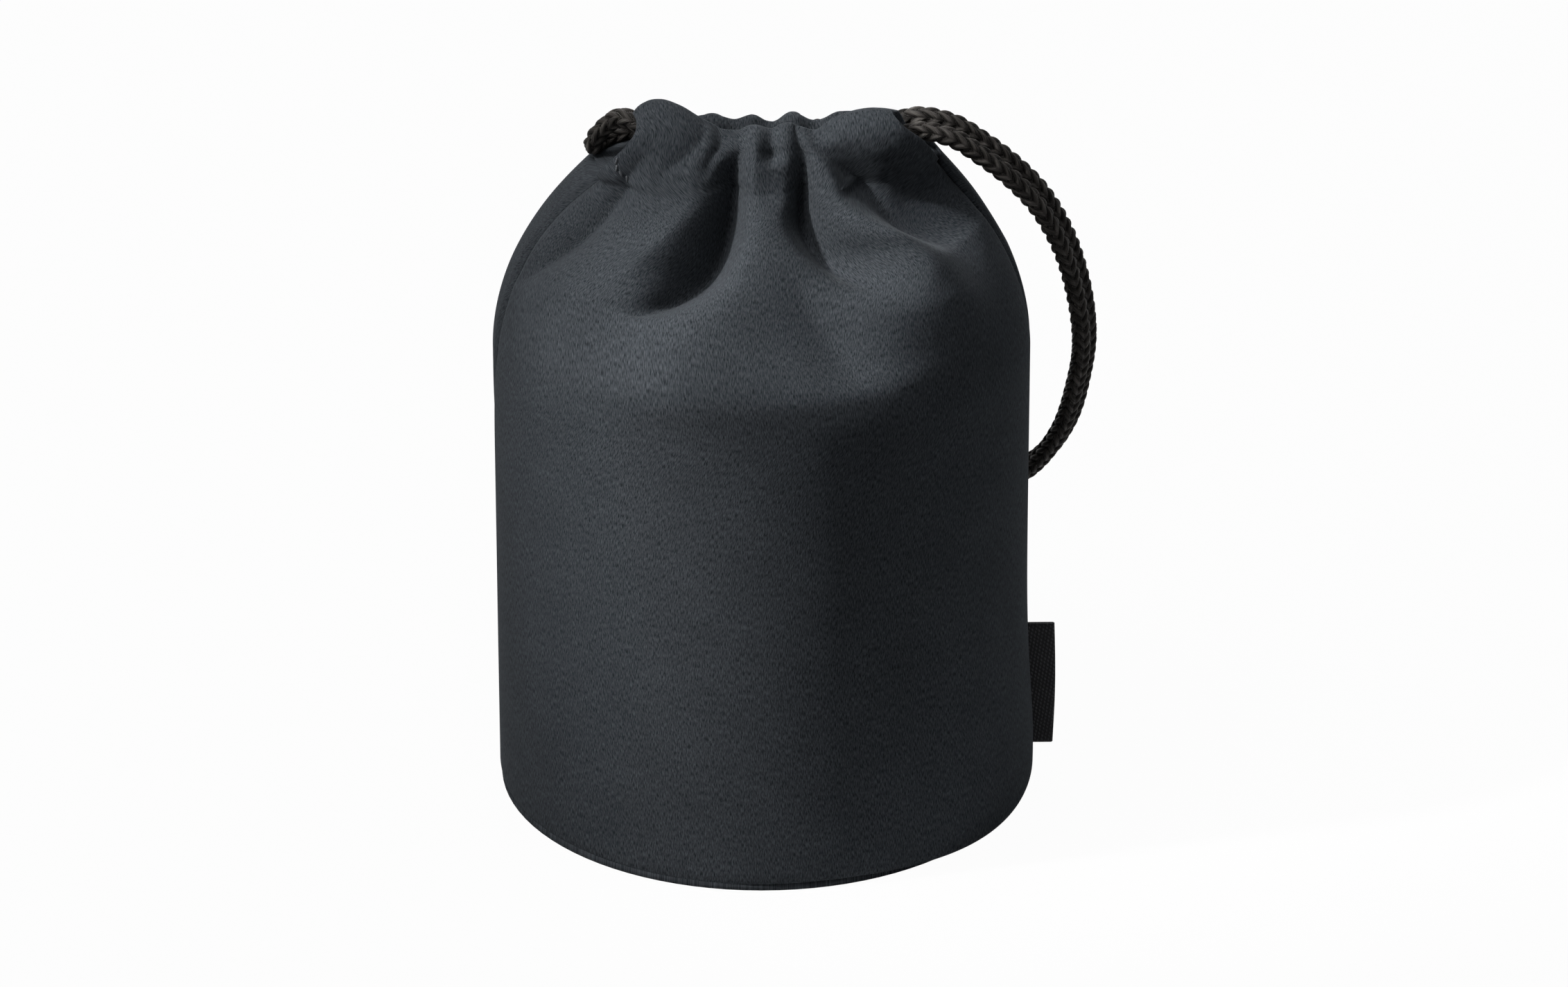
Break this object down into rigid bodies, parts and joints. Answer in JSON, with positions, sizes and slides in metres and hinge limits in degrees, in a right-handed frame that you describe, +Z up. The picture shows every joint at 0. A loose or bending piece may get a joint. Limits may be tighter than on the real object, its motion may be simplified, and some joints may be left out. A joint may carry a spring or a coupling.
{
  "type": "drawstring lens pouch",
  "caption": "Round padded drawstring pouch of dark suede cloth for a camera lens, with a braided cord through the gathered mouth and a woven side label.",
  "frame": {"origin": "middle of the base panel's underside, on the pouch's upright axis", "axes": "+Z up along the pouch's axis, -Y the front panel, +X the side with the label and the cord's free ends"},
  "size_m": [0.1075, 0.0997, 0.1307],
  "materials": {
    "suede": "brushed microsuede, charcoal",
    "lining": "brushed knit",
    "foam": "soft closed-cell foam",
    "tape": "woven binding tape",
    "cord": "plaited filament cord, slightly shiny",
    "label": "woven satin label, plain",
    "thread": "polyester sewing thread"
  },
  "bodies": {
    "pouch": {"front_panel": "suede", "back_panel": "suede", "base_panel": "suede", "base_pad": "foam", "base_lining": "lining", "base_seam_tape": "tape", "base_seam_thread": "thread", "left_seam_tape": "tape", "right_seam_tape": "tape", "left_seam_thread": "thread", "right_seam_thread": "thread", "cord_bight": "cord"},
    "front_lip": {"front_casing": "suede", "front_casing_thread": "thread", "front_cord_run": "cord"},
    "back_lip": {"back_casing": "suede", "back_casing_thread": "thread", "back_cord_run": "cord"},
    "pull_cord": {"front_pull_strand": "cord", "back_pull_strand": "cord", "cord_knot": "cord", "front_cord_tip": "cord", "back_cord_tip": "cord"},
    "label": {"label_tab": "label"}
  },
  "joints": [
    {"name": "cord_pull", "type": "slide", "parent": "pouch", "child": "pull_cord", "axis": [1, 0, 0], "range_m": [-0.004, 0]},
    {"name": "front_lip_tip", "type": "hinge", "parent": "pouch", "child": "front_lip", "pos_m": [0, -0.0095, 0.1195], "axis": [1, 0, 0], "range_deg": [0, 25]},
    {"name": "back_lip_tip", "type": "hinge", "parent": "pouch", "child": "back_lip", "pos_m": [0, 0.0095, 0.1195], "axis": [-1, 0, 0], "range_deg": [0, 25]},
    {"name": "label_flex", "type": "hinge", "parent": "pouch", "child": "label", "pos_m": [0.0483, 0, 0.0176], "axis": [0, 0, 1], "range_deg": [-75, 75], "stiffness_Nm_per_rad": 0.0004}
  ],
  "couplings": [
    {"joint": "front_lip_tip", "follows": "cord_pull", "rad_per_m": -109.08},
    {"joint": "back_lip_tip", "follows": "cord_pull", "rad_per_m": -109.08}
  ]
}
